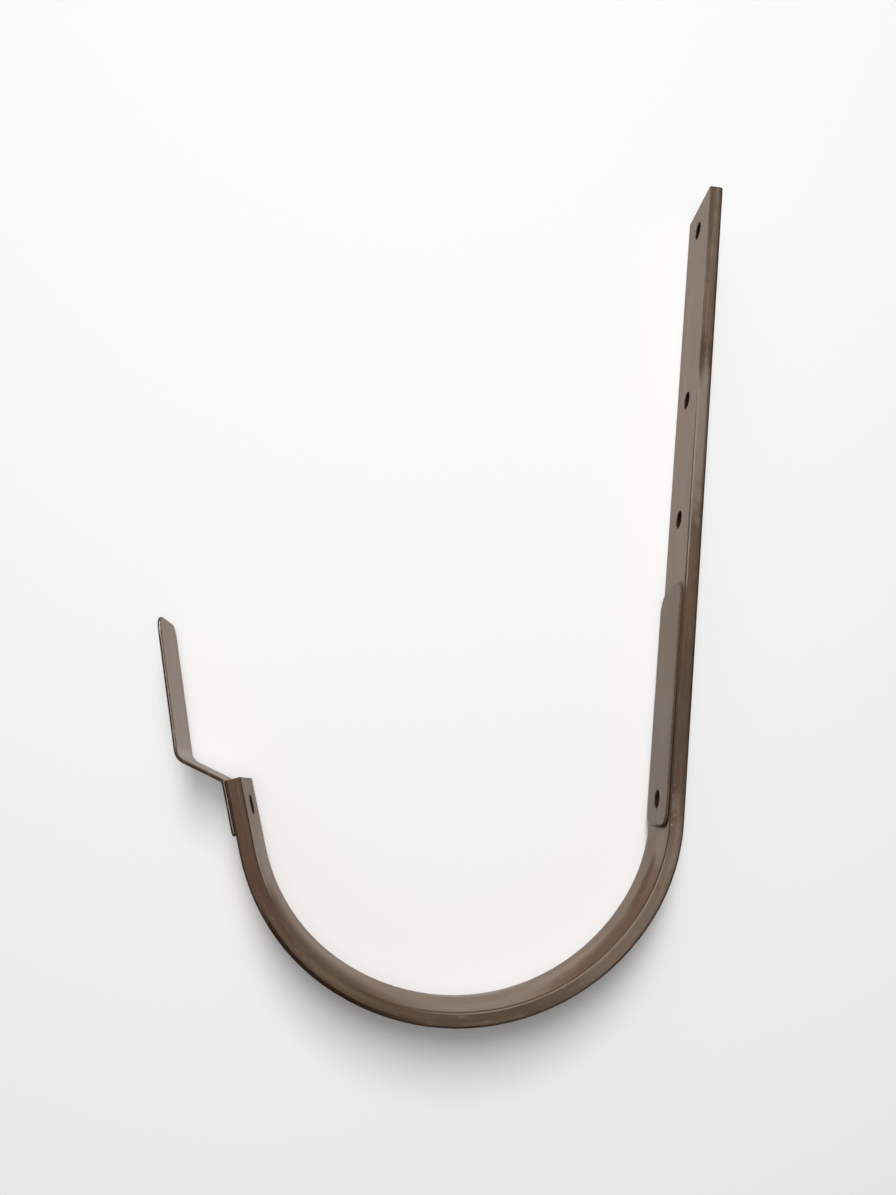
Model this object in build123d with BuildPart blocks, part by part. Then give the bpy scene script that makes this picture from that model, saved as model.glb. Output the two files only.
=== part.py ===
from build123d import *
import os

# Gutter bracket: a flat bar bent into a hook that carries a half-round gutter, with two thin
# tongues on it that are folded over the gutter's edges when it is hung.
# Millimetres. +Z is up, Y runs along the gutter, and the stem's back face is the plane x = 0
# with the hook towards -X. The origin is midway between the two lower fixing holes.

# Flat bar
BAR_W = 25.0
BAR_T = 5.0
BACK_EDGE_R = 1.2       # rolled edges, round on the outside of the hook
FACE_EDGE_R = 0.4       # and crisper on the side that the gutter lies on
END_EDGE_R = 0.3        # square-cut ends, barely broken

# Holes punched through the bar
HOLE_D = 6.5
FIX_PITCH = 45.0        # between the two lower fixing holes
TOP_PITCH = 68.5        # from the upper of them to the top fixing hole
TOP_MARGIN = 10.5       # from the top hole to the stem's end
STEM_BELOW = 103.5      # from the lowest fixing hole to the start of the hook
REAR_HOLE_RISE = 6.5    # rear tongue's hole above the start of the hook
ARM_MARGIN = 8.8        # front tongue's hole to the end of the front arm

# Hook, as radii on its inner face and turns in degrees
REAR_R = 58.0
REAR_TURN = 28.0
BOWL_R = 69.0
BOWL_TURN = 90.0
FRONT_R = 60.0
FRONT_TURN = 42.0
FRONT_ARM = 23.0

# Tongues: two strips cut to one length from the same sheet
TONGUE_W = 23.0
TONGUE_T = 1.1
TONGUE_LEN = 80.5
TONGUE_MARGIN = 8.6     # hole to the fixed end
TONGUE_EDGE = 0.2       # cut edges, broken at 45 degrees
REAR_CORNER_R = 7.0     # the rear tongue's corners by the bar's far edge
REAR_NEAR_R = 4.5       # and by its near edge
TAIL_CORNER_R = 2.0     # the front tongue's fixed end
TIP_CORNER_R = 4.0      # and its free end, by the bar's far edge
TIP_NEAR_R = 5.5        # and by its near edge
LIP_LEN = 4.6           # the rear tongue's fixed end stands a little off the bar
LIP_LIFT = 0.4
LIP_R = 20.0
JOG_LEN = 16.4          # the front tongue's slanting leg
JOG_TURN = 51.0
JOG_R = 1.6
UPPER_LEAN = -3.0       # its upper leg against the front arm
UPPER_R = 5.0

# Collar drawn from the tongue's sheet and pressed into the bar's hole
COLLAR_FIT = 0.05
COLLAR_WALL = 0.45
COLLAR_RECESS = 0.8     # short of the bar's far face
SHOULDER_W = 0.8        # rim at the collar's root that bears on the bar
SHOULDER_H = 0.1
MOUTH_R = 0.6

LOW_Z = -FIX_PITCH / 2
MID_Z = FIX_PITCH / 2
TOP_Z = MID_Z + TOP_PITCH
STEM_END_Z = TOP_Z + TOP_MARGIN
BEND_Z = LOW_Z - STEM_BELOW
REAR_HOLE_Z = BEND_Z + REAR_HOLE_RISE
HALF_T = BAR_T / 2
SIDE_VIEW = (0, -1, 0)

os.makedirs("parts", exist_ok=True)

# Hook bar: its bent middle line, given the bar's thickness and width
with BuildPart() as hook_bar:
    with BuildSketch(Plane.XZ):
        with BuildLine():
            stem = Line((-HALF_T, STEM_END_Z), (-HALF_T, BEND_Z))
            rear = JernArc(stem @ 1, stem % 1, REAR_R + HALF_T, -REAR_TURN)
            bowl = JernArc(rear @ 1, rear % 1, BOWL_R + HALF_T, -BOWL_TURN)
            front = JernArc(bowl @ 1, bowl % 1, FRONT_R + HALF_T, -FRONT_TURN)
            arm = Line(front @ 1, front @ 1 + FRONT_ARM * (front % 1))
        trace(line_width=BAR_T)
    extrude(amount=BAR_W / 2, both=True)
    arm_end = Plane.XZ.from_local_coords(arm @ 1)
    arm_along = Plane.XZ.from_local_coords(arm % 1)

    # Long edges run unbroken from end to end, so one edge of the stem starts each
    fillet(hook_bar.edges().filter_by(Axis.Z).group_by(Axis.X)[-1], BACK_EDGE_R)
    fillet(hook_bar.edges().filter_by(Axis.Z).group_by(Axis.X)[0], FACE_EDGE_R)
    cut_ends = hook_bar.faces().filter_by(Axis.Z) + hook_bar.faces().filter_by(Axis(arm_end, arm_along))
    fillet(cut_ends.edges(), END_EDGE_R)

    # Where each tongue sits: its hole on the bar's face, x towards its free end, y off the bar
    arm_middle = Plane(arm_end - ARM_MARGIN * arm_along, x_dir=arm_along, z_dir=SIDE_VIEW)
    front_seat = Plane(arm_middle.origin + HALF_T * arm_middle.y_dir, arm_along, SIDE_VIEW)
    rear_seat = Plane((-BAR_T, 0, REAR_HOLE_Z), x_dir=(0, 0, 1), z_dir=SIDE_VIEW)

    for height in (LOW_Z, MID_Z, TOP_Z, REAR_HOLE_Z):
        with Locations(Plane((0, 0, height), z_dir=(1, 0, 0))):
            Hole(HOLE_D / 2, depth=BAR_T)
    with Locations(Plane(front_seat.origin, z_dir=front_seat.y_dir)):
        Hole(HOLE_D / 2, depth=BAR_T)
hook_bar.part.label = "hook_bar"
export_step(hook_bar.part, "parts/hook_bar.step")

# Tongues: the strip's bent middle line on its seat, from its fixed end to its free end
strip_y = SHOULDER_H + TONGUE_T / 2
rear_line = [
    (-TONGUE_MARGIN, strip_y + LIP_LIFT),
    (LIP_LEN - TONGUE_MARGIN, strip_y),
    (TONGUE_LEN - TONGUE_MARGIN, strip_y),
]
upper_len = TONGUE_LEN - TONGUE_MARGIN - ARM_MARGIN - JOG_LEN
jog_start = Vector(ARM_MARGIN, strip_y)
jog_end = jog_start + JOG_LEN * Vector(1, 0).rotate(Axis.Z, JOG_TURN)
front_line = [
    (-TONGUE_MARGIN, strip_y),
    jog_start,
    jog_end,
    jog_end + upper_len * Vector(1, 0).rotate(Axis.Z, UPPER_LEAN),
]
collar_r = HOLE_D / 2 - COLLAR_FIT
bore_r = collar_r - COLLAR_WALL

for label, seat, line, bends, corners in (
    ("rear_tongue", rear_seat, rear_line, [LIP_R], [REAR_NEAR_R, REAR_CORNER_R] * 2),
    ("front_tongue", front_seat, front_line, [JOG_R, UPPER_R], [TAIL_CORNER_R] * 2 + [TIP_NEAR_R, TIP_CORNER_R]),
):
    with BuildPart() as tongue:
        with BuildSketch(seat):
            with BuildLine():
                FilletPolyline(*line, radius=bends)
            trace(line_width=TONGUE_T)
        extrude(amount=TONGUE_W / 2, both=True)

        # Round the corners, at the fixed end and then at the free end, each from the near edge to
        # the far one, and break the edges all round
        square_corners = tongue.edges().filter_by(lambda e: abs(e.length - TONGUE_T) < TONGUE_T / 100)
        fixed_first = square_corners.sort_by_distance(seat.origin)
        in_turn = fixed_first[:2].sort_by(Axis.Y) + fixed_first[2:].sort_by(Axis.Y)
        for corner, radius in zip(in_turn, corners):
            fillet(corner, radius)
        sides = tongue.faces().filter_by(Axis.Y)
        chamfer(sides.edges().filter_by(lambda e: e.length > 2 * TONGUE_T), TONGUE_EDGE)

        # Shoulder on the bar's face, collar down its hole, and the bore with its rounded mouth
        into_bar = Plane(seat.origin, z_dir=-seat.y_dir)
        with BuildSketch(into_bar.offset(-SHOULDER_H)):
            Circle(collar_r + SHOULDER_W)
        extrude(amount=SHOULDER_H)
        with BuildSketch(into_bar):
            Circle(collar_r)
        extrude(amount=BAR_T - COLLAR_RECESS)
        mouth = Plane(seat.origin + (SHOULDER_H + TONGUE_T) * seat.y_dir, z_dir=seat.y_dir)
        with Locations(mouth):
            Hole(bore_r, depth=SHOULDER_H + TONGUE_T + BAR_T)
        rims = tongue.edges().filter_by(lambda e: e.geom_type == GeomType.CIRCLE and e.is_closed)
        fillet(rims.sort_by_distance(mouth.origin)[0], MOUTH_R)
    tongue.part.label = label
    export_step(tongue.part, f"parts/{label}.step")
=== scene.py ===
# %% [markdown]
# # A painted gutter bracket
#
# The bracket is a flat steel bar bent into a hook, with two thin strips pressed into it. All three
# solids come ready from the CAD model, so nothing is modelled again here. What is left to do is
# what makes painted steel look real: a camera at the right height, a soft light, and one brown
# paint that knows where it lies on the bar, so that its streaks run round the bends.

# %% Load the three solids
import math

import bpy
from mathutils import Matrix, Vector


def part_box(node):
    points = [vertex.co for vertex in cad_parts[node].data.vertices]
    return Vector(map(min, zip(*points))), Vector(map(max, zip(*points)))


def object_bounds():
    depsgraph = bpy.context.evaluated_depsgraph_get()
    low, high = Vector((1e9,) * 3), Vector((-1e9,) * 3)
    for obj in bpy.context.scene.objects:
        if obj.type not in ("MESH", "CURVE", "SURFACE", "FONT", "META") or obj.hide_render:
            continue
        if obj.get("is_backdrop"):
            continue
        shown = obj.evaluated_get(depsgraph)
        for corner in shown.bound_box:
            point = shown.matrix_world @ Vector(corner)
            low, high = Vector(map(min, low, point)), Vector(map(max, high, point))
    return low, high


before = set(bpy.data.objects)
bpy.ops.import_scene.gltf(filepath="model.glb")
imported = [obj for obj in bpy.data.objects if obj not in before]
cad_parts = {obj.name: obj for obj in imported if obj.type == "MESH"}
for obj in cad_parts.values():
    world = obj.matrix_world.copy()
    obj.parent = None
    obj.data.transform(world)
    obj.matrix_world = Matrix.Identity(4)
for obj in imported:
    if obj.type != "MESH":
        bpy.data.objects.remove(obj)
cad_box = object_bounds()
scene = bpy.context.scene
for name in sorted(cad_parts):
    low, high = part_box(name)
    size = [round(1000 * (b - a), 1) for a, b in zip(low, high)]
    print(name, "is", size, "mm and has", len(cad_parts[name].data.polygons), "faces")

# %% [markdown]
# ## Camera
#
# The view is from close by, a little below the middle and tilted upwards. Such a near camera makes
# the stem taper towards its top, which a long lens would not. The place, the tilt and the focal
# length belong together: moving one of them alone would change the taper.

# %% Camera
IMAGE_HEIGHT_PX = 1195
FOCAL_PX = 964.06
SENSOR_MM = 36.0
CAMERA_PLACE = Vector((-0.09223, -0.32241, -0.12700))
CAMERA_PITCH, CAMERA_YAW, CAMERA_ROLL = 11.694, -1.704, -6.558


def turned(degrees, axis):
    return Matrix.Rotation(math.radians(degrees), 4, axis)


lens = bpy.data.cameras.new("camera")
lens.sensor_fit = "AUTO"
lens.sensor_width = SENSOR_MM
lens.lens = FOCAL_PX * SENSOR_MM / IMAGE_HEIGHT_PX
lens.clip_start = 0.01
camera = bpy.data.objects.new("camera", lens)
camera.matrix_world = (
    Matrix.Translation(CAMERA_PLACE)
    @ turned(CAMERA_YAW, "Z")
    @ turned(90 + CAMERA_PITCH, "X")
    @ turned(-CAMERA_ROLL, "Z")
)
scene.collection.objects.link(camera)
scene.camera = camera
bpy.context.view_layer.update()
looking = [round(-v, 3) for v in camera.matrix_world.col[2][:3]]
print("lens", round(lens.lens, 2), "mm, looking along", looking)

# %% [markdown]
# ## Helpers for shader nodes
#
# A material is a small network. These helpers keep its code readable: `add` makes a node, `feed`
# gives a socket a link or a plain number, and `sums` is one step of arithmetic.

# %% Helpers for nodes


def add(tree, kind, **settings):
    node = tree.nodes.new("ShaderNode" + kind)
    for setting, value in settings.items():
        setattr(node, setting, value)
    return node


def feed(tree, socket, value):
    if isinstance(value, bpy.types.NodeSocket):
        tree.links.new(value, socket)
    else:
        socket.default_value = value


def sums(tree, operation, *values, clamp=False):
    node = add(tree, "Math", operation=operation, use_clamp=clamp)
    for socket, value in zip(node.inputs, values):
        feed(tree, socket, value)
    return node.outputs[0]


# %% [markdown]
# A mask is a number from 0 to 1 that says where something shows. Nearly every one here is built from
# soft steps, which rise or fall over a given distance, and from products of them.

# %% Helpers for masks


def times(tree, *masks):
    """The product of several masks."""
    product = masks[0]
    for mask in masks[1:]:
        product = sums(tree, "MULTIPLY", product, mask)
    return product


def most(tree, *masks):
    """The largest of several masks."""
    largest = masks[0]
    for mask in masks[1:]:
        largest = sums(tree, "MAXIMUM", largest, mask)
    return largest


def rest(tree, mask):
    """What a mask leaves out."""
    return sums(tree, "SUBTRACT", 1.0, mask)


def part_way(tree, mask, first, last):
    """The first number where a mask is 0 and the last one where it is 1."""
    return sums(tree, "MULTIPLY_ADD", mask, last - first, first)


def length(tree, one, other):
    """How long two steps at a right angle to one another are together."""
    return sums(tree, "SQRT", sums(tree, "MULTIPLY_ADD", one, one, times(tree, other, other)))


def soft_step(tree, value, start, end):
    """0 before start and 1 after end, with a smooth way between; start may be the larger."""
    node = add(tree, "MapRange", interpolation_type="SMOOTHSTEP")
    feed(tree, node.inputs["Value"], value)
    node.inputs["From Min"].default_value = min(start, end)
    node.inputs["From Max"].default_value = max(start, end)
    node.inputs["To Min"].default_value = 0.0 if start < end else 1.0
    node.inputs["To Max"].default_value = 1.0 if start < end else 0.0
    return node.outputs[0]


def soft_band(tree, value, rise, rise_end, fall, fall_end):
    """1 between rise_end and fall, with a smooth way up before and down after."""
    up, down = soft_step(tree, value, rise, rise_end), soft_step(tree, value, fall_end, fall)
    return times(tree, up, down)


# %% [markdown]
# Colours need less: `blend` mixes two of them, and `noise` breaks them up. Noise is much the same
# in all directions, so `stretched` draws it out along the metal. The last two helpers make a node
# group with named sockets, and put one to use in a material.

# %% Helpers for colours and groups


def blend(tree, amount, first, second):
    """Mix two colours."""
    node = add(tree, "Mix", data_type="RGBA")
    feed(tree, node.inputs[0], amount)
    feed(tree, node.inputs[6], first)
    feed(tree, node.inputs[7], second)
    return node.outputs[2]


def stretched(tree, vector, factors):
    node = add(tree, "VectorMath", operation="MULTIPLY")
    feed(tree, node.inputs[0], vector)
    node.inputs[1].default_value = factors
    return node.outputs[0]


def noise(tree, vector, scale, detail, roughness):
    node = add(tree, "TexNoise")
    feed(tree, node.inputs["Vector"], vector)
    feed(tree, node.inputs["Scale"], scale)
    node.inputs["Detail"].default_value = detail
    node.inputs["Roughness"].default_value = roughness
    return node.outputs[0]


def swing(tree, noisy, amount):
    """Noise taken from its middle, so that it goes both up and down, by an amount."""
    return times(tree, sums(tree, "SUBTRACT", noisy, 0.5), amount)


def new_group(name, inputs, outputs):
    """A node group whose sockets are given as (name, kind) pairs."""
    tree = bpy.data.node_groups.new(name, "ShaderNodeTree")
    for side, sockets in (("INPUT", inputs), ("OUTPUT", outputs)):
        for title, kind in sockets:
            tree.interface.new_socket(title, in_out=side, socket_type="NodeSocket" + kind)
    return tree, tree.nodes.new("NodeGroupInput").outputs, tree.nodes.new("NodeGroupOutput").inputs


def place_group(tree, group, **values):
    """Put a group in a tree and feed its inputs, whose names are written with underscores."""
    node = add(tree, "Group", node_tree=group)
    for title, value in values.items():
        feed(tree, node.inputs[title.replace("_", " ")], value)
    return node.outputs


# %% [markdown]
# ## Where a point lies on a bent strip
#
# Rolled strip carries its marks lengthwise, and when the strip is bent they bend with it. So each
# solid gets a node group that follows its middle line, one straight or bent stretch after another,
# and measures every point: how far along it lies, how deep from the strip's right side, and how
# far across the width. A stretch takes over where the point has passed the line that starts it.

# %% Strip coordinates, in millimetres


def point_in_mm(tree):
    scaled = add(tree, "VectorMath", operation="SCALE")
    feed(tree, scaled.inputs[0], add(tree, "TexCoord").outputs["Object"])
    scaled.inputs["Scale"].default_value = 1000.0
    split = add(tree, "SeparateXYZ")
    feed(tree, split.inputs[0], scaled.outputs[0])
    return split.outputs


def strip_group(name, start, heading, thickness, stretches, bends_below=None):
    """A group for the strip whose middle line leaves an XZ place in some direction.

    A stretch is (length, 0) if straight and (radius, turn in degrees) if bent; a turn to the left is
    positive. The path's end and its direction there come back with the group.
    """
    tree, _, out = new_group(name, [], [(title, "Float") for title in ("Along", "Depth", "Width")])
    x, y, z = point_in_mm(tree)
    allowed = 1.0 if bends_below is None else sums(tree, "LESS_THAN", z, bends_below)

    def away(point, direction):
        share = times(tree, sums(tree, "SUBTRACT", x, point.x), direction.x)
        return sums(tree, "MULTIPLY_ADD", sums(tree, "SUBTRACT", z, point.y), direction.y, share)

    def take_over(now, then, past):
        return sums(tree, "MULTIPLY_ADD", sums(tree, "SUBTRACT", then, now), past, now)

    joint, heading, travelled = Vector(start), Vector(heading), 0.0
    along = depth = None
    for size, turn in stretches:
        left = Vector((-heading.y, heading.x))
        onward = away(joint, heading)
        if turn:
            side = math.copysign(1.0, turn)
            spin = Matrix.Rotation(math.radians(turn), 2)
            centre = joint + side * size * left
            dx = sums(tree, "SUBTRACT", x, centre.x)
            dz = sums(tree, "SUBTRACT", z, centre.y)
            first_angle = math.atan2(-side * left.y, -side * left.x)
            swept = sums(tree, "SUBTRACT", sums(tree, "ARCTAN2", dz, dx), first_angle)
            here = sums(tree, "MULTIPLY_ADD", swept, side * size, travelled)
            deepest = thickness / 2 + side * size
            deep = sums(tree, "MULTIPLY_ADD", length(tree, dx, dz), -side, deepest)
            joint, heading = centre + spin @ (joint - centre), spin @ heading
            travelled += size * math.radians(abs(turn))
        else:
            here = sums(tree, "ADD", onward, travelled)
            deep = sums(tree, "ADD", away(joint, left), thickness / 2)
            joint = joint + size * heading
            travelled += size
        if along is None:
            along, depth = here, deep
        else:
            past = times(tree, sums(tree, "GREATER_THAN", onward, 0.0), allowed)
            along, depth = take_over(along, here, past), take_over(depth, deep, past)
    for title, value in (("Along", along), ("Depth", depth), ("Width", y)):
        feed(tree, out[title], value)
    print(name, "end", round(travelled, 1), "mm along, at", [round(v, 2) for v in joint])
    return tree, joint, heading


# %% [markdown]
# The bar sets out down the stem, so its right side is the face that the gutter lies on. The tongues
# set out upwards from their fixed ends, so their right side lies on the bar. Where a tongue is
# bent, the bend takes a little off the straight stretches on either side of it.

# %% The three strips
BAR_T = 5.0
STEM_TOP, STEM_FOOT = 101.5, -126.0
HOOK = ((58.0, 28.0), (69.0, 90.0), (60.0, 42.0))  # inner radius and turn of each bend
FRONT_ARM = 23.0
TONGUE_T = 1.1
TONGUE_LEN = 80.5
TONGUE_OFF = 0.65  # from the bar's face to the tongue's middle
BORE_AT = 8.6  # from a tongue's fixed end to its bore
REAR_BORE_Z = -119.5
ARM_MARGIN = 8.8  # from the arm's hole to its end
JOG_LEN, JOG_R, JOG_TURN = 16.4, 1.6, 51.0
UPPER_R, UPPER_TURN = 5.0, -54.0

bends = [(inner + BAR_T / 2, -turn) for inner, turn in HOOK]
bar_group, arm_end, arm_along = strip_group(
    "Bar coordinates", (-BAR_T / 2, STEM_TOP), (0, -1), BAR_T,
    [(STEM_TOP - STEM_FOOT, 0), *bends, (FRONT_ARM, 0)], bends_below=STEM_FOOT,
)
rear_foot = (-BAR_T - TONGUE_OFF, REAR_BORE_Z - BORE_AT)
rear_group, _, _ = strip_group(
    "Rear tongue coordinates", rear_foot, (0, 1), TONGUE_T, [(TONGUE_LEN, 0)]
)
arm_left = Vector((-arm_along.y, arm_along.x))
front_foot = arm_end - (ARM_MARGIN + BORE_AT) * arm_along + (BAR_T / 2 + TONGUE_OFF) * arm_left
jog_cut = JOG_R * math.tan(math.radians(JOG_TURN / 2))
upper_cut = UPPER_R * math.tan(math.radians(-UPPER_TURN / 2))
front_group, _, _ = strip_group(
    "Front tongue coordinates", front_foot, arm_along, TONGUE_T,
    [
        (BORE_AT + ARM_MARGIN - jog_cut, 0),
        (JOG_R, JOG_TURN),
        (JOG_LEN - jog_cut - upper_cut, 0),
        (UPPER_R, UPPER_TURN),
        (TONGUE_LEN - BORE_AT - ARM_MARGIN - JOG_LEN - upper_cut, 0),
    ],
)

# %% [markdown]
# ## The paint
#
# The finish is a thin satin brown, sprayed over rolled steel. Seen closely it is never one colour:
# long streaks from rolling show through, cloudy patches lie where the coat is thicker, and a fine
# grain breaks up the shine. The group takes a point stretched lengthwise and gives back a colour,
# a roughness and a height, so that every steel piece gets the same paint at its own scale.

# %% Paint group
BROWN = (0.083, 0.052, 0.032, 1)
BROWN_THIN = (0.140, 0.098, 0.068, 1)
BROWN_THICK = (0.055, 0.032, 0.018, 1)
SATIN = 0.70  # the coat's mean roughness


def brown_paint_group():
    tree, given, out = new_group(
        "Satin brown paint",
        [("Flow", "Vector"), ("Streaks", "Float"), ("Clouds", "Float")],
        [("Color", "Color"), ("Roughness", "Float"), ("Height", "Float")],
    )
    flow = given["Flow"]

    def drawn_out(factors, detail, roughness):
        return noise(tree, stretched(tree, flow, factors), 1.0, detail, roughness)

    broad = drawn_out((0.012, 0.9, 0.55), 3.0, 0.6)
    narrow = drawn_out((0.03, 3.6, 2.4), 2.0, 0.6)
    clouds = drawn_out((0.045, 0.22, 0.13), 3.0, 0.55)
    mottle = drawn_out((0.35, 0.9, 0.7), 2.0, 0.6)
    grain = noise(tree, flow, 4.5, 2.0, 0.7)
    streak = sums(tree, "MULTIPLY_ADD", narrow, 0.45, times(tree, broad, 0.55))
    streak = swing(tree, streak, given["Streaks"])
    cloud = swing(tree, clouds, given["Clouds"])
    large = sums(tree, "ADD", streak, cloud)
    fine = sums(tree, "ADD", swing(tree, mottle, 0.5), swing(tree, grain, 0.35))
    tone = sums(tree, "ADD", large, fine)

    tint = blend(tree, soft_step(tree, tone, 0.0, 0.5), BROWN, BROWN_THIN)
    tint = blend(tree, soft_step(tree, tone, 0.0, -0.5), tint, BROWN_THICK)
    rough = sums(tree, "MULTIPLY_ADD", large, -0.16, SATIN)
    rough = sums(tree, "ADD", swing(tree, grain, 0.12), rough)
    relief = sums(tree, "MULTIPLY_ADD", streak, 0.7, times(tree, grain, 0.5))
    for title, value in (("Color", tint), ("Roughness", rough), ("Height", relief)):
        feed(tree, out[title], value)
    return tree


paint_group = brown_paint_group()
print("paint group has", len(paint_group.nodes), "nodes")

# %% [markdown]
# ## Which way the surface faces
#
# The bar's narrow edges face along the gutter and its broad faces do not, so the normal's share in
# that direction tells them apart. Halfway between the two it marks the rounded corner itself, which
# is where the lines of painted shade go, and the light line that is partly rubbed paint and partly
# painted highlight.

# %% Edge group


def edge_or_corner_group():
    tree, _, out = new_group("Edge or corner", [], [("Edge", "Float"), ("Corner", "Float")])
    normal = add(tree, "SeparateXYZ")
    feed(tree, normal.inputs[0], add(tree, "TexCoord").outputs["Normal"])
    share = times(tree, normal.outputs[1], normal.outputs[1])
    feed(tree, out["Edge"], soft_step(tree, share, 0.35, 0.85))
    halfway = times(tree, share, rest(tree, share))
    feed(tree, out["Corner"], sums(tree, "MULTIPLY", halfway, 4.0, clamp=True))
    return tree


edge_group = edge_or_corner_group()
print("edge group has", len(edge_group.nodes), "nodes")

# %% [markdown]
# ## Marks
#
# A mark is a soft-sided patch at a known place on the bar, broken up by noise so that its outline is
# ragged. The same group serves for a smudge, a scuff, a stain and a patch of painted sheen or shade;
# only its place, its size and how ragged it is change.

# %% Mark group


def ragged_mark_group():
    places = ("Along", "Across", "Middle", "Half length", "Line", "Half width")
    numbers = [(title, "Float") for title in (*places, "Ragged", "Grain size")]
    inputs = [("Flow", "Vector"), *numbers]
    tree, given, out = new_group("Ragged mark", inputs, [("Mask", "Float")])

    def off(place, middle, half):
        return sums(tree, "DIVIDE", sums(tree, "SUBTRACT", given[place], given[middle]), given[half])

    reach = length(
        tree, off("Along", "Middle", "Half length"), off("Across", "Line", "Half width")
    )
    finer = sums(tree, "DIVIDE", 1.0, given["Grain size"])
    bitten = swing(tree, noise(tree, given["Flow"], finer, 3.0, 0.6), given["Ragged"])
    feed(tree, out["Mask"], soft_step(tree, sums(tree, "ADD", reach, bitten), 1.1, 0.35))
    return tree


mark_group = ragged_mark_group()
print("mark group has", len(mark_group.nodes), "nodes")

# %% [markdown]
# ## What all painted pieces share
#
# Every piece needs a material, its place on its strip, and the paint's sheen and relief. The sheen
# is a constant on the shader, since painted steel reflects alike all over; only the roughness
# changes, on stains, on painted shade and on darker rims, where the coat is made dull. The relief
# is so slight that a bump gives it.

# %% Shared parts of a material
FACE_STRENGTH = 0.7  # how far a broad face takes its lighter tone, partly painted reflection
DULLNESS = 0.32
BUMP_STRENGTH, BUMP_MM = 0.35, 0.03
PAINT_IOR = 1.25


def new_material(name):
    material = bpy.data.materials.new(name)
    material.use_nodes = True
    tree = material.node_tree
    return material, tree, tree.nodes["Principled BSDF"]


def on_strip(tree, coordinates):
    """Where the point lies on its strip, as three numbers and as one vector."""
    spot = place_group(tree, coordinates)
    numbers = [spot[title] for title in ("Along", "Depth", "Width")]
    joined = add(tree, "CombineXYZ")
    for socket, number in zip(joined.inputs, numbers):
        feed(tree, socket, number)
    return *numbers, joined.outputs[0]


def finish_paint(tree, shader, colour, paint, dull):
    """Give the shader its colour and sheen; dull is 1 on stains, painted shade and darker rims."""
    feed(tree, shader.inputs["Base Color"], colour)
    rough = sums(tree, "MULTIPLY_ADD", dull, DULLNESS, paint["Roughness"], clamp=True)
    feed(tree, shader.inputs["Roughness"], rough)
    bump = add(tree, "Bump")
    bump.inputs["Strength"].default_value = BUMP_STRENGTH
    bump.inputs["Distance"].default_value = BUMP_MM / 1000
    feed(tree, bump.inputs["Height"], paint["Height"])
    feed(tree, shader.inputs["Normal"], bump.outputs["Normal"])
    shader.inputs["IOR"].default_value = PAINT_IOR


print("paint bump is", BUMP_MM, "mm high")

# %% [markdown]
# ## The bar's material
#
# The bar starts from the paint. Its broad faces look lighter than its edges, greyer on the stem and
# browner round the hook, so they get a lighter tone that changes along the bar: partly the paint's
# own, partly painted reflection of the pale board. The marks and the painted light and shade come
# after it, as masks that mix another colour into this one.

# %% Bar: paint and the tones of its faces
FACE_GREY = (0.136, 0.105, 0.087, 1)
FACE_BROWN = (0.165, 0.108, 0.068, 1)
FRONT_BROWN = (0.228, 0.138, 0.078, 1)
STEM_TO_HOOK, HOOK_TO_FRONT = (225.0, 250.0), (330.0, 360.0)  # where one tone turns into another
INSIDE_DEPTH = (1.5, 0.8)  # the inner face fades in between these depths

bar_paint, tree, shader = new_material("bar_brown_paint")
along, depth, width, flow = on_strip(tree, bar_group)
paint = place_group(tree, paint_group, Flow=flow, Streaks=2.2, Clouds=1.2)
facing = place_group(tree, edge_group)
edge, corner = facing["Edge"], facing["Corner"]
broad = rest(tree, edge)
near = sums(tree, "LESS_THAN", width, 0.0)
near_edge = times(tree, edge, near)
inside = times(tree, broad, soft_step(tree, depth, *INSIDE_DEPTH))


def between(rise, rise_end, fall, fall_end):
    """A stretch of the bar, given along its length, that fades in and out."""
    return soft_band(tree, along, rise, rise_end, fall, fall_end)


# A lighter tone on the broad faces: partly the paint's own, partly painted reflection
face_tone = blend(tree, soft_step(tree, along, *STEM_TO_HOOK), FACE_GREY, FACE_BROWN)
face_tone = blend(tree, soft_step(tree, along, *HOOK_TO_FRONT), face_tone, FRONT_BROWN)
colour = blend(tree, times(tree, broad, FACE_STRENGTH), paint["Color"], face_tone)
print("bar material starts with", len(tree.nodes), "nodes")

# %% [markdown]
# In the front bend the inner corner looks soft. There painted shade darkens the face towards the
# corner, and a painted highlight makes the edge a little lighter beside it, so that the two run
# into one another.

# %% Bar: painted shade and highlight at the soft corner in the front bend
DARK_FACE_BROWN = (0.075, 0.048, 0.029, 1)
BEND_SHADE_ALONG, BEND_SHADE_ACROSS, BEND_SHADE_STRENGTH = (332.0, 364.0, 398.0, 406.0), (6.0, -14.0), 0.85
BEND_LIGHT_ALONG, BEND_LIGHT_DEPTH, BEND_LIGHT_STRENGTH = (322.0, 358.0, 368.0, 390.0), (0.4, 1.2, 2.0, 3.4), 0.25

# Painted shade on the face towards the corner, and a painted highlight on the edge beside it
bend_shade = times(tree, between(*BEND_SHADE_ALONG), inside, soft_step(tree, width, *BEND_SHADE_ACROSS))
colour = blend(tree, times(tree, bend_shade, BEND_SHADE_STRENGTH), colour, DARK_FACE_BROWN)
bend_light = times(tree, between(*BEND_LIGHT_ALONG), near_edge, soft_band(tree, depth, *BEND_LIGHT_DEPTH))
colour = blend(tree, times(tree, bend_light, BEND_LIGHT_STRENGTH), colour, FACE_BROWN)
print("the front bend is shaded from", BEND_SHADE_ALONG[0], "to", BEND_SHADE_ALONG[-1], "mm along the bar")
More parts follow.
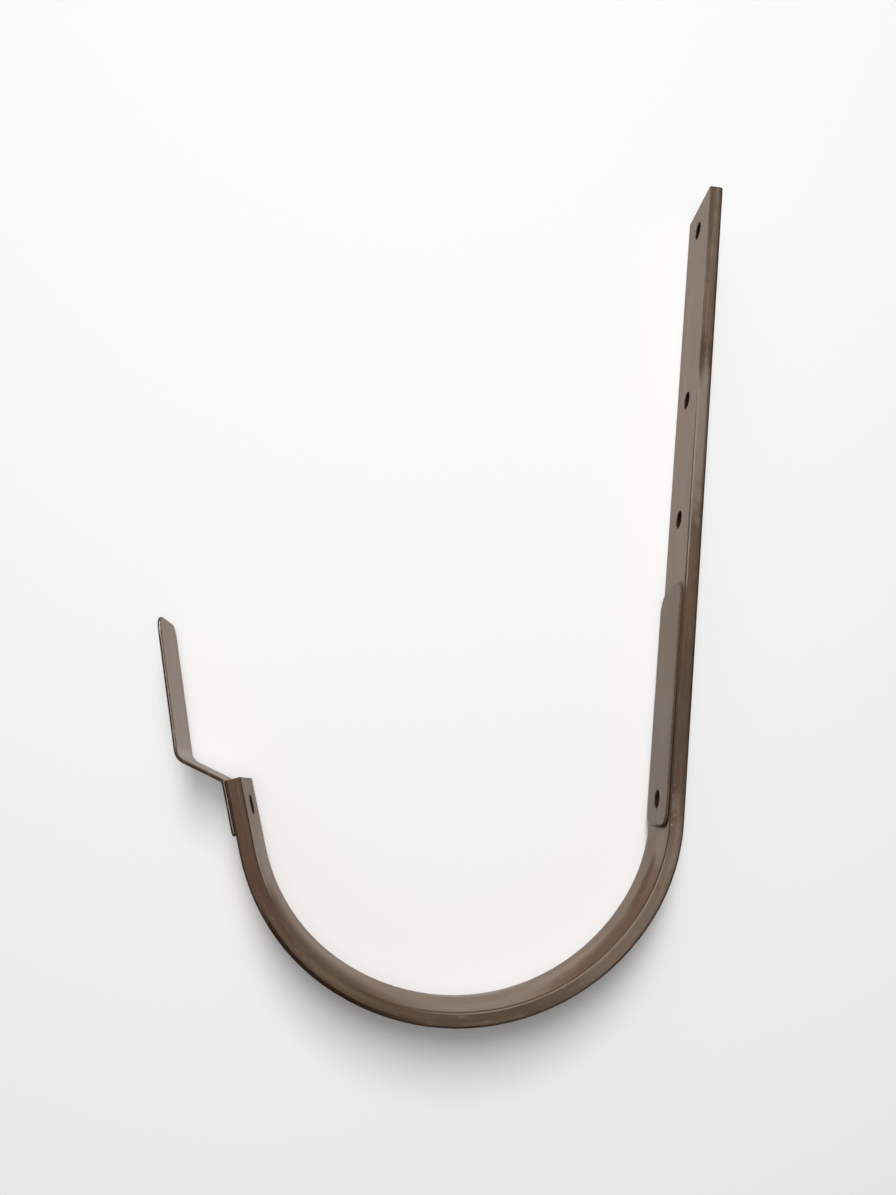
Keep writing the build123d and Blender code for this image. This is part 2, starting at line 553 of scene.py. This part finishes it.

# %% [markdown]
# ### Marks, painted sheen and painted shade
#
# A painted sheen lies on the stem's edge and where the bend starts, with a painted reflection on
# the far side of the hook's lowest part. A rusty stain runs down the inside of the rear bend, and
# smudges, darker patches, painted shade and scuffs are spread over the rest. They could be painted
# by hand on an unwrapped mesh; as rows of a table they stay easy to move. Each later row lies over
# the ones before it.

# %% Bar: marks
# The first two tones are painted sheen and painted reflection
SHEEN_GREY = (0.30, 0.255, 0.225, 1)
SHEEN_BROWN = (0.30, 0.235, 0.185, 1)
DEEP_BROWN = (0.050, 0.029, 0.016, 1)
RED_BROWN = (0.085, 0.042, 0.026, 1)
STAIN = (0.080, 0.043, 0.025, 1)
SCUFF_AND_HIGHLIGHT = (0.24, 0.185, 0.145, 1)
SPECK = (0.60, 0.53, 0.47, 1)
ON_EDGE, ON_FACE = (depth, near_edge), (width, inside)
MARKS = (
    # side, tone, strength; middle and half length along the bar; middle line and half width
    # across that side; raggedness and grain size
    # Painted sheen on the near edge; painted reflection on the far side of the hook's lowest part
    (ON_EDGE, SHEEN_GREY, 0.05, 30.0, 34.0, 2.6, 6.0, 1.0, 6.0),
    (ON_EDGE, SHEEN_GREY, 0.36, 96.0, 38.0, 2.6, 5.5, 1.2, 6.0),
    (ON_EDGE, SHEEN_BROWN, 0.28, 260.0, 42.0, 2.4, 6.0, 0.9, 6.0),
    (ON_FACE, SHEEN_GREY, 0.55, 321.0, 25.0, 12.0, 4.5, 0.8, 5.0),
    # A deeper brown on the edge beside the rear tongue, a thin streak of it at the stem's top, and
    # a redder brown on the front arm
    (ON_EDGE, DEEP_BROWN, 0.46, 194.0, 36.0, 1.0, 7.0, 0.6, 5.0),
    (ON_EDGE, DEEP_BROWN, 0.40, 6.0, 42.0, 1.2, 0.9, 0.8, 3.0),
    (ON_EDGE, RED_BROWN, 0.58, 408.0, 30.0, 2.5, 7.0, 0.6, 6.0),
    # Dark smudges on the stem, beside the inner corner and near the outer one
    (ON_EDGE, BROWN_THICK, 0.85, 67.0, 11.0, 0.9, 1.7, 1.1, 2.2),
    (ON_EDGE, BROWN_THICK, 0.80, 67.0, 8.0, 3.8, 1.4, 1.1, 2.0),
    # A stain down the near half of the inside of the rear bend, with a darker run where it starts
    (ON_FACE, STAIN, 0.80, 270.0, 34.0, -9.0, 12.0, 0.6, 8.0),
    (ON_FACE, STAIN, 0.95, 250.0, 14.0, -2.0, 5.0, 0.9, 5.0),
    # Far half: painted shade under the tongue's end; darker round the rear bend and up the front
    (ON_FACE, DARK_FACE_BROWN, 0.40, 238.0, 8.0, 9.0, 11.0, 0.6, 5.0),
    (ON_FACE, DARK_FACE_BROWN, 0.42, 256.0, 27.0, 6.0, 13.0, 0.6, 7.0),
    (ON_FACE, DARK_FACE_BROWN, 0.35, 370.0, 34.0, 12.5, 7.0, 0.6, 7.0),
    # A painted highlight along the inner corner, where the front bend runs into the arm
    (ON_FACE, SHEEN_BROWN, 0.35, 416.0, 21.0, -10.4, 1.8, 0.5, 3.0),
    # Scuffs and two specks where the bend starts, and a rubbed smear at the hook's lowest part
    (ON_EDGE, SCUFF_AND_HIGHLIGHT, 0.28, 222.0, 5.0, 1.5, 1.4, 2.8, 1.2),
    (ON_EDGE, SPECK, 0.60, 228.8, 0.28, 0.8, 0.25, 0.3, 0.5),
    (ON_EDGE, SPECK, 0.15, 228.6, 0.28, 3.0, 0.25, 0.3, 0.5),
    (ON_EDGE, SCUFF_AND_HIGHLIGHT, 0.30, 326.0, 2.4, 1.3, 0.5, 1.8, 0.9),
)

stains = []
for (across, side), tone, strength, middle, half_length, line, half_width, ragged, grain in MARKS:
    patch = place_group(
        tree, mark_group, Along=along, Across=across, Flow=flow, Middle=middle,
        Half_length=half_length, Line=line, Half_width=half_width, Ragged=ragged, Grain_size=grain,
    )
    mask = times(tree, patch["Mask"], side)
    colour = blend(tree, times(tree, mask, strength), colour, tone)
    if tone is STAIN:
        stains.append(mask)
print("the bar carries", len(MARKS), "marks, of which", len(stains), "are stains")

# %% [markdown]
# ### Lines along the corners
#
# Painted shade draws a dark line along the inner corner, and a light line runs along the edge
# beside it, except next to the rear tongue: partly rubbed paint, partly painted highlight. Along
# two stretches the dark line is fainter. Both come from the corner's own mask and the depth, so
# they follow the bar round every bend.

# %% Bar: inner corner
# The darkest brown: painted shade in corners and on outlines, and the front tongue's darker rims
DARKEST_BROWN = (0.020, 0.009, 0.003, 1)
CRISP = (70.0, 95.0, 320.0, 350.0)  # where the corner is sharp enough to show a line
CRISP_ARM = (395.0, 412.0)
FAINT = (((60.0, 70.0, 138.0, 148.0), 0.25), ((244.0, 270.0, 340.0, 350.0), 0.55))
BY_TONGUE = (149.0, 152.0, 234.0, 246.0)
DARK_DEPTH, DARK_STRENGTH = (1.2, 0.6), 0.9
LINE_LIGHT_DEPTH, LINE_LIGHT_STRENGTH = (0.35, 0.5, 0.7, 0.95), 0.85

sharp = sums(tree, "SQRT", corner)
crisp = between(*CRISP)
shows = most(tree, crisp, soft_step(tree, along, *CRISP_ARM))
fainter = most(tree, *(times(tree, between(*stretch), share) for stretch, share in FAINT))
# Painted shade in the inner corner
line_dark = times(tree, sharp, soft_step(tree, depth, *DARK_DEPTH), shows, DARK_STRENGTH)
line_dark = times(tree, line_dark, rest(tree, fainter))
colour = blend(tree, line_dark, colour, DARKEST_BROWN)
# A light line on the edge: partly rubbed paint, partly painted highlight
line_light = times(tree, soft_band(tree, depth, *LINE_LIGHT_DEPTH), near_edge, crisp)
line_light = times(tree, line_light, rest(tree, between(*BY_TONGUE)))
colour = blend(tree, times(tree, line_light, LINE_LIGHT_STRENGTH), colour, SCUFF_AND_HIGHLIGHT)
print("the inner corner has a dark line from", CRISP[0], "to", CRISP[-1], "mm and on the arm")

# %% [markdown]
# Painted shade darkens the outer corner all along, less so in two stretches. On part of the stem
# it draws a thin line on the edge, and under the front bend it is black over a wider band.

# %% Bar: outer corner
OUTER_SHADE_DEPTH, OUTER_SHADE_STRENGTH = (3.9, 4.5), 0.85
LESS_SHADE, LESS_SHADE_SHARE = ((192.0, 202.0, 222.0, 230.0), (276.0, 288.0, 312.0, 324.0)), 0.5
ON_STEM, ON_STEM_DEPTH, ON_STEM_STRENGTH = (62.0, 80.0, 122.0, 140.0), (3.3, 3.9), 0.5
UNDER_FRONT, UNDER_DEPTH, UNDER_STRENGTH = (322.0, 362.0, 390.0, 404.0), (3.3, 3.7), 0.98

# Painted shade along the outer corner
less_shade = most(tree, *(between(*stretch) for stretch in LESS_SHADE))
outer_shade = times(tree, sharp, soft_step(tree, depth, *OUTER_SHADE_DEPTH), OUTER_SHADE_STRENGTH)
outer_shade = times(tree, outer_shade, part_way(tree, less_shade, 1.0, LESS_SHADE_SHARE))
on_stem = times(tree, between(*ON_STEM), near_edge, soft_step(tree, depth, *ON_STEM_DEPTH))
under = times(tree, between(*UNDER_FRONT), near, soft_step(tree, depth, *UNDER_DEPTH))
on_stem, under = times(tree, on_stem, ON_STEM_STRENGTH), times(tree, under, UNDER_STRENGTH)
outer_shade = most(tree, outer_shade, on_stem, under)
print("grime reaches", round(BAR_T - UNDER_DEPTH[0], 1), "mm up the edge under the front bend")

# %% [markdown]
# ### Painted shade where pieces meet
#
# Painted shade also darkens the crevice round the rear tongue, and the bar's face just above the
# tongue's end. The distance from the tongue's outline, a rectangle with round corners, finds it
# without another mesh. Last come the walls of the holes, darkened with painted shade.

# %% Bar: painted shade in the crevice round the rear tongue, and in the holes
# The crevice and hole browns are painted shade
CREVICE_BROWN = (0.055, 0.022, 0.006, 1)
HOLE_SHADE_BROWN = (0.024, 0.010, 0.005, 1)
TONGUE_W = 23.0
CORNER_R = 4.5
CREVICE_EDGE, ABOVE_EDGE = (CORNER_R + 0.9, CORNER_R + 0.2), (CORNER_R + 1.8, CORNER_R + 0.6)
CREVICE_ACROSS, CREVICE_ALONG = (4.0, -8.0), (178.0, 195.0)  # deeper on the near side and lower down
ABOVE_ACROSS, ABOVE_LEN, ABOVE_STRENGTH = (9.0, 3.0), 20.0, 0.5
HOLE_WALL, HOLE_ACROSS, HOLE_STRENGTH = (0.05, 0.3, 4.7, 4.95), (3.7, 3.4), 0.95
OFF_THE_ENDS = (1.0, 2.0, 436.0, 437.0)


def past(value, half):
    """How far a point lies past the place where the outline's round corner starts, either way."""
    beyond = sums(tree, "SUBTRACT", sums(tree, "ABSOLUTE", value), half - CORNER_R)
    return sums(tree, "MAXIMUM", beyond, 0.0)


tongue_middle = STEM_TOP - REAR_BORE_Z + BORE_AT - TONGUE_LEN / 2
past_end = past(sums(tree, "SUBTRACT", along, tongue_middle), TONGUE_LEN / 2)
outside = length(tree, past_end, past(width, TONGUE_W / 2))
# Painted shade in the crevice, and in a soft arc above the tongue's end
crevice = times(tree, inside, soft_step(tree, outside, *CREVICE_EDGE))
crevice = times(tree, crevice, part_way(tree, soft_step(tree, width, *CREVICE_ACROSS), 0.4, 0.95))
crevice = times(tree, crevice, part_way(tree, soft_step(tree, along, *CREVICE_ALONG), 0.35, 0.95))
above = times(tree, inside, soft_step(tree, outside, *ABOVE_EDGE))
above = times(tree, above, soft_step(tree, along, tongue_middle, tongue_middle - ABOVE_LEN))
above = times(tree, above, soft_step(tree, width, *ABOVE_ACROSS), ABOVE_STRENGTH)
crevice = most(tree, crevice, above)
# Painted shade on the walls of the holes
in_hole = times(
    tree, soft_step(tree, sums(tree, "ABSOLUTE", width), *HOLE_ACROSS),
    soft_band(tree, depth, *HOLE_WALL), between(*OFF_THE_ENDS),
)
colour = blend(tree, crevice, colour, CREVICE_BROWN)
colour = blend(tree, outer_shade, colour, DARKEST_BROWN)
colour = blend(tree, times(tree, in_hole, HOLE_STRENGTH), colour, HOLE_SHADE_BROWN)
dull = most(tree, *stains, bend_shade, outer_shade, line_dark, crevice, in_hole)
finish_paint(tree, shader, colour, paint, dull)
print("bar material has", len(tree.nodes), "nodes")

# %% [markdown]
# ## The tongues' material
#
# The tongues are cut from thin sheet and painted with the bar. Their broad faces are smooth, with
# faint streaks lengthwise. Their cut edges are another matter: the paint pulls away from the sharp
# corners, and each edge gets a broken dark outline of painted shade, darkest next to the bar. The
# two tongues differ only in their tones and in where they are darker, so one function makes both
# materials.

# %% Tongue materials
REAR_GREY = (0.101, 0.075, 0.057, 1)
RIM_GREY = (0.28, 0.23, 0.19, 1)
FLECK = (0.42, 0.36, 0.31, 1)
INNER_LINE = (0.34, 0.22)  # depths between which each dark outline fades in
OUTER_LINE = (TONGUE_T - 0.60, TONGUE_T - 0.50)
TIP_ALONG, TIP_ACROSS, TIP_DEPTH, TIP_SHINE = (74.0, 75.5, 77.5, 78.5), (-8.0, -9.5), (0.6, 0.5), 1.6
RIM_OFF_BORE, BORE_EDGE = (4.0, 5.0), (3.35, 2.9)  # distances from the bore's middle
FOOT_TO_TOP = (40.0, 70.0)
FIXED_END, FIXED_ACROSS, FIXED_STRENGTH = (0.8, 0.3), (0.0, -8.0), 0.9
SLANT_LIGHT, SLANT_DARK = 0.25, 0.86


def tongue_material(
    name, coordinates, face_tone, rim_tone, rim_foot, rim_top, by_bar, free, by_open, flecks,
    bar_ends, slant_ends,
):
    """The edge takes rim_tone by rim_foot at the fixed end and by rim_top at the free end, with light
    flecks on it. by_bar, free and by_open are how dark its outlines of painted shade are: next to
    the bar, on that side past bar_ends, and on the other side. Painted shade also darkens its fixed
    end. From bar_ends to the slant's end the front tongue slants: there its face is lighter and its
    edges are dark all over. The rear one has no such stretch.
    """
    material, tree, shader = new_material(name)
    along, depth, width, flow = on_strip(tree, coordinates)
    paint = place_group(tree, paint_group, Flow=flow, Streaks=0.8, Clouds=0.8)
    facing = place_group(tree, edge_group)
    edge, corner = facing["Edge"], facing["Corner"]
    face = rest(tree, edge)
    off_bore = length(tree, sums(tree, "SUBTRACT", along, BORE_AT), width)
    rim = times(tree, edge, soft_step(tree, off_bore, *RIM_OFF_BORE))

    colour = blend(tree, times(tree, face, FACE_STRENGTH), paint["Color"], face_tone)
    kept = part_way(tree, soft_step(tree, along, *FOOT_TO_TOP), rim_foot, rim_top)
    colour = blend(tree, times(tree, rim, kept), colour, rim_tone)
    chips = noise(tree, stretched(tree, flow, (0.45, 1.0, 0.3)), 1.0, 3.0, 0.65)
    colour = blend(tree, times(tree, soft_step(tree, chips, 0.55, 0.64), rim, flecks), colour, FLECK)
    tip = times(tree, soft_band(tree, along, *TIP_ALONG), soft_step(tree, width, *TIP_ACROSS))
    tip = times(tree, tip, soft_step(tree, depth, *TIP_DEPTH), edge, flecks, TIP_SHINE)
    colour = blend(tree, tip, colour, SPECK)
    beyond = soft_step(tree, along, bar_ends - 1.0, bar_ends + 1.0)
    slant = times(tree, beyond, soft_step(tree, along, slant_ends + 3.0, slant_ends))
    colour = blend(tree, times(tree, face, slant, SLANT_LIGHT), colour, RIM_GREY)

    # The dark outlines along the cut edges are painted shade
    bar_side = part_way(tree, beyond, by_bar, free)
    inner_line = times(tree, soft_step(tree, depth, *INNER_LINE), bar_side)
    outer_line = times(tree, soft_step(tree, depth, *OUTER_LINE), by_open)
    broken = part_way(tree, soft_step(tree, chips, 0.55, 0.65), 1.0, 0.6)
    outline = times(tree, most(tree, inner_line, outer_line), most(tree, rim, corner), broken)
    # Painted shade at the fixed end, on its near side
    fixed_end = times(tree, soft_step(tree, along, *FIXED_END), soft_step(tree, width, *FIXED_ACROSS))
    fixed_end = times(tree, fixed_end, FIXED_STRENGTH)
    darkening = most(tree, times(tree, rim, slant, SLANT_DARK), outline, fixed_end)
    # Painted shade in the bore
    bore = times(tree, soft_step(tree, off_bore, *BORE_EDGE), HOLE_STRENGTH)
    colour = blend(tree, darkening, colour, DARKEST_BROWN)
    colour = blend(tree, bore, colour, HOLE_SHADE_BROWN)
    finish_paint(tree, shader, colour, paint, most(tree, darkening, bore))
    print(name, "has", len(tree.nodes), "nodes")
    return material


rear_paint = tongue_material(
    "rear_tongue_brown_paint", rear_group, REAR_GREY, DEEP_BROWN, rim_foot=0.2, rim_top=0.0,
    by_bar=0.95, free=0.4, by_open=0.12, flecks=0.0, bar_ends=45.0, slant_ends=0.0,
)
front_paint = tongue_material(
    "front_tongue_brown_paint", front_group, FACE_GREY, RIM_GREY, rim_foot=0.8, rim_top=0.8,
    by_bar=0.95, free=0.75, by_open=0.97, flecks=0.45, bar_ends=BORE_AT + ARM_MARGIN, slant_ends=35.0,
)

# %% [markdown]
# Each solid has one finish all over, so it needs one material and no choice of faces.

# %% Put the paint on the solids
paints = {"hook_bar": bar_paint, "rear_tongue": rear_paint, "front_tongue": front_paint}
for name, material in paints.items():
    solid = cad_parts[name]
    solid.data.materials.clear()
    solid.data.materials.append(material)
    print(name, "is painted with", material.name)

# %% [markdown]
# ## Board
#
# The bracket lies against a pale board, which touches the bar's far edge. It reflects into the broad
# faces, which are seen at a low angle, and lightens them. From behind the board can be looked
# through, so that the bracket is visible from every side.

# %% Board
BOARD_Y = 0.0125
BOARD_HALF = 2.0
BOARD_WHITE = (0.86, 0.86, 0.86, 1)

board_corners = [(-1, -1), (1, -1), (1, 1), (-1, 1)]
board_mesh = bpy.data.meshes.new("board")
board_mesh.from_pydata(
    [(u * BOARD_HALF, BOARD_Y, v * BOARD_HALF) for u, v in board_corners], [], [(0, 1, 2, 3)]
)
board = bpy.data.objects.new("board", board_mesh)
scene.collection.objects.link(board)
board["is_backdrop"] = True

board_white, board_tree, board_shader = new_material("board_white")
board_shader.inputs["Base Color"].default_value = BOARD_WHITE
board_shader.inputs["Roughness"].default_value = 0.9
board_shader.inputs["Specular IOR Level"].default_value = 0.1
either = add(board_tree, "MixShader")
feed(board_tree, either.inputs[0], add(board_tree, "NewGeometry").outputs["Backfacing"])
feed(board_tree, either.inputs[1], board_shader.outputs[0])
feed(board_tree, either.inputs[2], add(board_tree, "BsdfTransparent").outputs[0])
feed(board_tree, board_tree.nodes["Material Output"].inputs["Surface"], either.outputs[0])
board_mesh.materials.append(board_white)
print("the board faces", [round(v, 1) for v in board_mesh.polygons[0].normal])

# %% [markdown]
# ## Light
#
# The main light is a tall, narrow softbox in front and above, a little to the left: because it is
# narrow, it throws hardly any shade sideways off the stem, and because it is tall, the shade below
# the hook fades slowly. Part of it shines past the front tongue, whose shade is fainter than the
# bar's. A fill stands at the camera, and two weak ones lighten the faces that look left and right.
# A sun behind the board serves only the views from there.

# %% Lights
MIDDLE = (-0.085, 0.0, -0.08)
SOFTBOX_AT, SOFTBOX_SIZE = (-0.21, -1.30, 0.69), (0.45, 0.92)
FILL_SIZE = (0.3, 0.3)
FILL_SPREAD = math.radians(40)


def softbox(name, place, target, size, watts):
    light = bpy.data.lights.new(name, "AREA")
    light.shape = "RECTANGLE"
    light.size, light.size_y = size
    light.energy = watts
    lamp = bpy.data.objects.new(name, light)
    aim = Vector(target) - Vector(place)
    turn = aim.to_track_quat("-Z", "Y").to_matrix().to_4x4()
    lamp.matrix_world = Matrix.Translation(place) @ turn
    scene.collection.objects.link(lamp)
    return lamp


def collected(title, names):
    """A collection of solids, for a light to reach or to be blocked by."""
    solids = bpy.data.collections.new(title)
    for name in names:
        solids.objects.link(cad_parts[name])
    return solids


softbox("tall_softbox", SOFTBOX_AT, MIDDLE, SOFTBOX_SIZE, 15.0)
past_tongue = softbox("softbox_past_tongue", SOFTBOX_AT, MIDDLE, SOFTBOX_SIZE, 4.7)
blockers = collected("all_but_front_tongue", ["hook_bar", "rear_tongue"])
past_tongue.light_linking.blocker_collection = blockers
softbox("front_fill", (-0.085, -0.62, -0.14), MIDDLE, FILL_SIZE, 1.02)

for name, place, target, watts, reached in (
    ("left_fill", (-0.75, -0.20, 0.24), (-0.005, 0.0, 0.04), 0.50, ["hook_bar", "rear_tongue"]),
    ("right_fill", (0.55, -0.20, 0.10), (-0.16, 0.0, -0.11), 0.45, ["front_tongue"]),
):
    fill = softbox(name, place, target, FILL_SIZE, watts)
    fill.data.spread = FILL_SPREAD
    fill.light_linking.receiver_collection = collected("lit_by_" + name, reached)

back = bpy.data.lights.new("back_sun", "SUN")
back.energy = 1.2
back.angle = math.radians(20)
back_sun = bpy.data.objects.new("back_sun", back)
back_sun.rotation_euler = (math.radians(-90), 0, 0)
scene.collection.objects.link(back_sun)
lit = collected("lit_from_behind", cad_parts)
back_sun.light_linking.receiver_collection = lit
back_sun.light_linking.blocker_collection = lit

# %% [markdown]
# The room itself is lightest overhead and on the left, and dark below and on the right, which
# models the round edges softly. The camera sees it as white as the board.

# %% Room
OVERHEAD, BELOW, ON_THE_RIGHT = 0.42, 0.06, 0.08


def grey(value):
    return value, value, value, 1


world = bpy.data.worlds.new("studio")
world.use_nodes = True
room_tree = world.node_tree
towards = add(room_tree, "SeparateXYZ")
feed(room_tree, towards.inputs[0], add(room_tree, "TexCoord").outputs["Generated"])
upward = soft_step(room_tree, towards.outputs[2], -0.5, 0.8)
leftward = soft_step(room_tree, towards.outputs[0], 0.8, -0.8)
room = blend(room_tree, upward, grey(BELOW), grey(OVERHEAD))
room = blend(room_tree, leftward, grey(ON_THE_RIGHT), room)
seen = add(room_tree, "LightPath").outputs["Is Camera Ray"]
backdrop = blend(room_tree, seen, room, BOARD_WHITE)
feed(room_tree, room_tree.nodes["Background"].inputs["Color"], backdrop)
scene.world = world
scene.view_settings.view_transform = "Standard"
print("room lit from", BELOW, "below to", OVERHEAD, "overhead")

# %% [markdown]
# ## Compare the boxes
#
# Paint adds no thickness, so the finished model has to fill the same box as the solids.

# %% Compare the boxes and finish
final_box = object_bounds()
for title, box in (("CAD", cad_box), ("final", final_box)):
    print(title, "box", [[round(c, 4) for c in v] for v in box])
